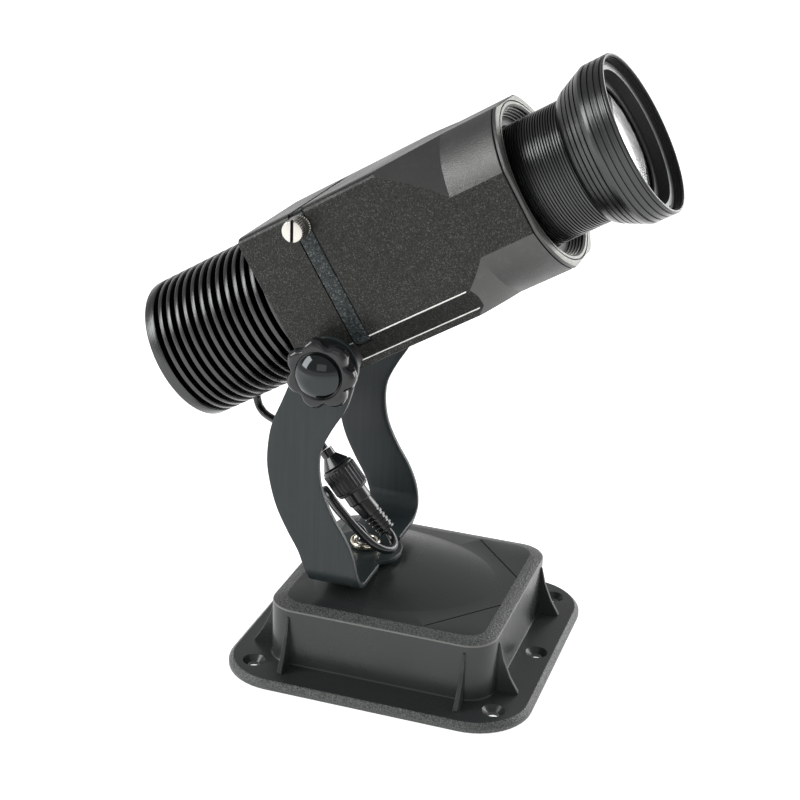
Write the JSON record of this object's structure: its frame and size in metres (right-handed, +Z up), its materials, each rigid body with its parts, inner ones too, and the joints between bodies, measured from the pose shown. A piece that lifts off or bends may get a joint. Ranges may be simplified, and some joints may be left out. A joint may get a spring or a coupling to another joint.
{
  "type": "gobo projector",
  "caption": "Small LED gobo projector: a square head with a finned heat sink and a focusing lens barrel, tilting in a yoke that swivels on a square base box.",
  "frame": {"origin": "middle of the base's underside", "axes": "+X the way the lens points, +Y across to the far arm of the yoke, +Z up"},
  "size_m": [0.2334, 0.14, 0.2769],
  "materials": {
    "moulded_black": "fine moulded grain, semi-gloss",
    "blue_paint": "satin powder coat",
    "sparkle_paint": "sparkle powder coat",
    "black_anodised": "black anodised, turned",
    "bright_steel": "nickel plated",
    "brass": "polished",
    "rubber": "soft satin",
    "gloss_black": "gloss",
    "glass": "polished, coated",
    "circuit_board": "solder mask",
    "ferrite": "taped coil",
    "nylon": "natural",
    "phosphor": "gloss"
  },
  "bodies": {
    "base": {"base_housing": "moulded_black", "base_plate": "blue_paint", "base_screw_1": "bright_steel", "base_screw_2": "bright_steel", "base_screw_3": "bright_steel", "base_screw_4": "bright_steel", "driver_board": "circuit_board", "driver_transformer": "ferrite", "driver_capacitor_1": "black_anodised", "driver_capacitor_2": "black_anodised", "lead_header": "nylon", "mains_gland": "rubber", "mains_gland_nut": "rubber", "pan_washer": "nylon", "pan_stud": "bright_steel", "pan_lock_nut": "bright_steel", "pan_ring_nut": "brass"},
    "yoke": {"yoke": "blue_paint", "tilt_washer_near": "rubber", "tilt_washer_far": "rubber", "base_lead": "rubber", "head_lead": "rubber", "socket_body": "gloss_black", "plug_body": "gloss_black"},
    "coupling_nut": {"coupling_nut": "rubber"},
    "head": {"body_tube": "sparkle_paint", "pivot_insert_near": "brass", "pivot_insert_far": "brass", "heat_sink": "black_anodised", "led_board": "nylon", "led_emitter": "phosphor", "led_screw_1": "bright_steel", "led_screw_2": "bright_steel", "lead_gland": "rubber", "condenser_cell": "black_anodised", "condenser_lens": "glass", "condenser_ring": "black_anodised", "gobo_gate": "black_anodised", "light_baffle": "black_anodised", "focus_sleeve": "black_anodised", "front_ring": "black_anodised"},
    "gobo_holder": {"gobo_carrier": "bright_steel", "gobo_cover": "sparkle_paint", "gobo_disc": "glass", "gobo_clip": "bright_steel"},
    "thumb_screw": {"thumb_screw": "bright_steel"},
    "lens_barrel": {"lens_tube": "black_anodised", "lens_bezel": "black_anodised", "front_lens": "glass", "lens_ring": "black_anodised", "rear_lens": "glass", "rear_ring": "black_anodised"},
    "knob_near": {"tilt_knob_near": "gloss_black", "tilt_stud_near": "bright_steel", "tilt_knob_cap_near": "gloss_black"},
    "knob_far": {"tilt_knob_far": "gloss_black", "tilt_stud_far": "bright_steel", "tilt_knob_cap_far": "gloss_black"}
  },
  "joints": [
    {"name": "pan", "type": "hinge", "parent": "base", "child": "yoke", "pos_m": [-0.0234, 0, 0.0405], "axis": [0, 0, 1], "range_deg": [-170, 170]},
    {"name": "tilt", "type": "hinge", "parent": "yoke", "child": "head", "pos_m": [-0.0267, 0, 0.1456], "axis": [0, -1, 0], "range_deg": [-56, 28], "deforming": ["head_lead"]},
    {"name": "focus", "type": "slide", "parent": "head", "child": "lens_barrel", "axis": [0.8526, 0, 0.5225], "range_m": [-0.018, 0.02]},
    {"name": "gobo_lift", "type": "slide", "parent": "head", "child": "gobo_holder", "axis": [-0.5225, 0, 0.8526], "range_m": [0, 0.055]},
    {"name": "thumb_screw_turn", "type": "hinge", "parent": "gobo_holder", "child": "thumb_screw", "pos_m": [-0.0439, -0.041, 0.20132], "axis": [0, -1, 0], "range_deg": [0, 720]},
    {"name": "knob_near_turn", "type": "hinge", "parent": "head", "child": "knob_near", "pos_m": [-0.0267, -0.05, 0.1456], "axis": [0, -1, 0], "range_deg": [0, 450]},
    {"name": "knob_far_turn", "type": "hinge", "parent": "head", "child": "knob_far", "pos_m": [-0.0267, 0.05, 0.1456], "axis": [0, 1, 0], "range_deg": [0, 450]},
    {"name": "coupling_nut_turn", "type": "hinge", "parent": "yoke", "child": "coupling_nut", "pos_m": [-0.0342, 0, 0.074], "axis": [0.6266, 0, -0.7793], "range_deg": [0, 720]}
  ]
}
